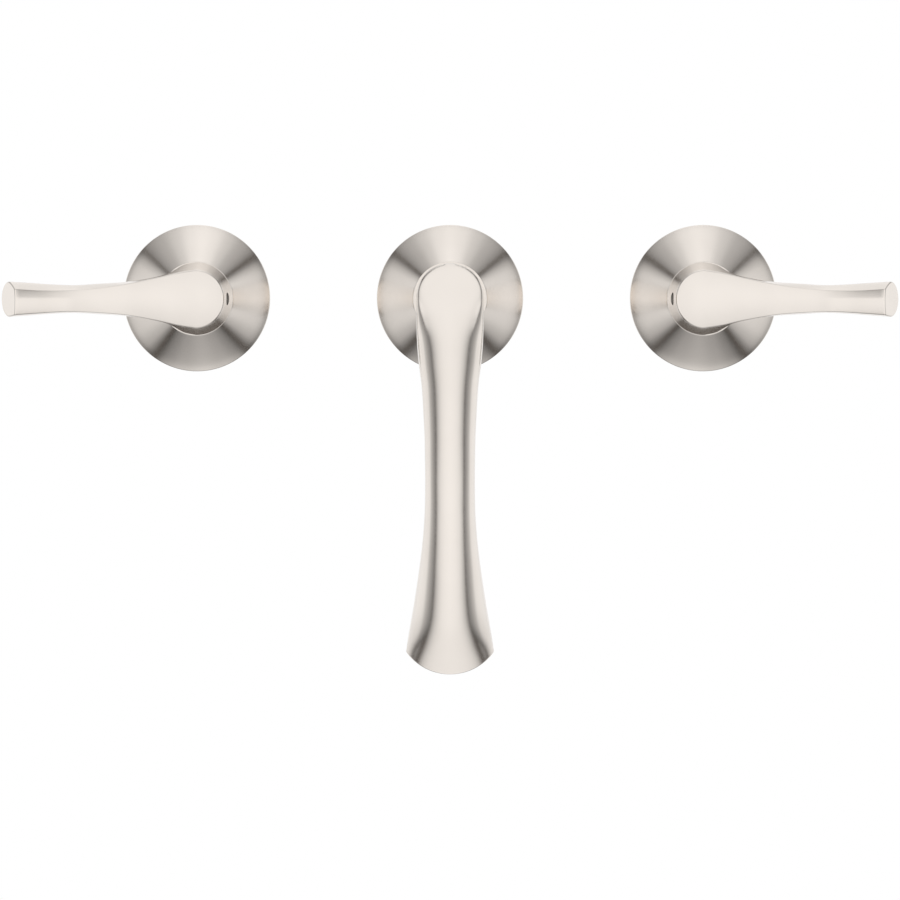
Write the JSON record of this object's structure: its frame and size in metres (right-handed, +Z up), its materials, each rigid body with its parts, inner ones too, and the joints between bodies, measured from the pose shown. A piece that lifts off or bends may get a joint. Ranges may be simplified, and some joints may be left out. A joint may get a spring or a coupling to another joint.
{
  "type": "wall mounted bath faucet",
  "caption": "Wall mounted bath faucet in satin brushed nickel, with a downturned, flared spout between two lever handles on bell escutcheons, and its in-wall valves.",
  "frame": {"origin": "centre of the spout's escutcheon on the finished wall", "axes": "+X to the user's right, from the spout towards the cold handle; +Y into the wall; +Z up"},
  "size_m": [0.3578, 0.2105, 0.1746],
  "materials": {
    "brushed_nickel": "warm satin brushed nickel",
    "brass": "machined brass",
    "cast_brass": "sand-cast brass, tumbled",
    "copper_tube": "drawn copper tube",
    "stainless_steel": "plain stainless steel",
    "white_plastic": "moulded acetal",
    "white_ceramic": "lapped alumina",
    "black_rubber": "moulded rubber",
    "black_foam": "closed-cell foam"
  },
  "bodies": {
    "faucet_body": {"hot_escutcheon_nut": "brass", "hot_escutcheon": "brushed_nickel", "hot_escutcheon_gasket": "black_foam", "hot_bonnet_nut": "brass", "hot_stem_o_ring": "black_rubber", "hot_cartridge_housing": "brass", "hot_fixed_disc": "white_ceramic", "hot_seat_seal": "black_rubber", "hot_valve_body": "cast_brass", "hot_inlet_nipple": "brass", "cold_escutcheon_nut": "brass", "cold_escutcheon": "brushed_nickel", "cold_escutcheon_gasket": "black_foam", "cold_bonnet_nut": "brass", "cold_stem_o_ring": "black_rubber", "cold_cartridge_housing": "brass", "cold_fixed_disc": "white_ceramic", "cold_seat_seal": "black_rubber", "cold_valve_body": "cast_brass", "cold_inlet_nipple": "brass", "spout_body": "brushed_nickel", "outlet_seal": "black_rubber", "outlet_housing": "white_plastic", "outlet_screen": "stainless_steel", "spout_set_screw": "stainless_steel", "spout_escutcheon": "brushed_nickel", "spout_escutcheon_gasket": "black_foam", "spout_shank": "brass", "shank_o_ring_rear": "black_rubber", "shank_o_ring_front": "black_rubber", "shank_nut": "brass", "spout_tee": "cast_brass", "hot_manifold_tube": "copper_tube", "cold_manifold_tube": "copper_tube"},
    "hot_handle": {"hot_lever": "brushed_nickel", "hot_lever_set_screw": "stainless_steel", "hot_handle_adapter": "white_plastic", "hot_stem": "brass", "hot_moving_disc": "white_ceramic", "hot_stem_retaining_ring": "stainless_steel"},
    "cold_handle": {"cold_lever": "brushed_nickel", "cold_lever_set_screw": "stainless_steel", "cold_handle_adapter": "white_plastic", "cold_stem": "brass", "cold_moving_disc": "white_ceramic", "cold_stem_retaining_ring": "stainless_steel"}
  },
  "joints": [
    {"name": "hot_handle_turn", "type": "hinge", "parent": "faucet_body", "child": "hot_handle", "pos_m": [-0.1016, -0.029, 0], "axis": [0, -1, 0], "range_deg": [0, 90]},
    {"name": "cold_handle_turn", "type": "hinge", "parent": "faucet_body", "child": "cold_handle", "pos_m": [0.1016, -0.029, 0], "axis": [0, 1, 0], "range_deg": [0, 90]}
  ]
}
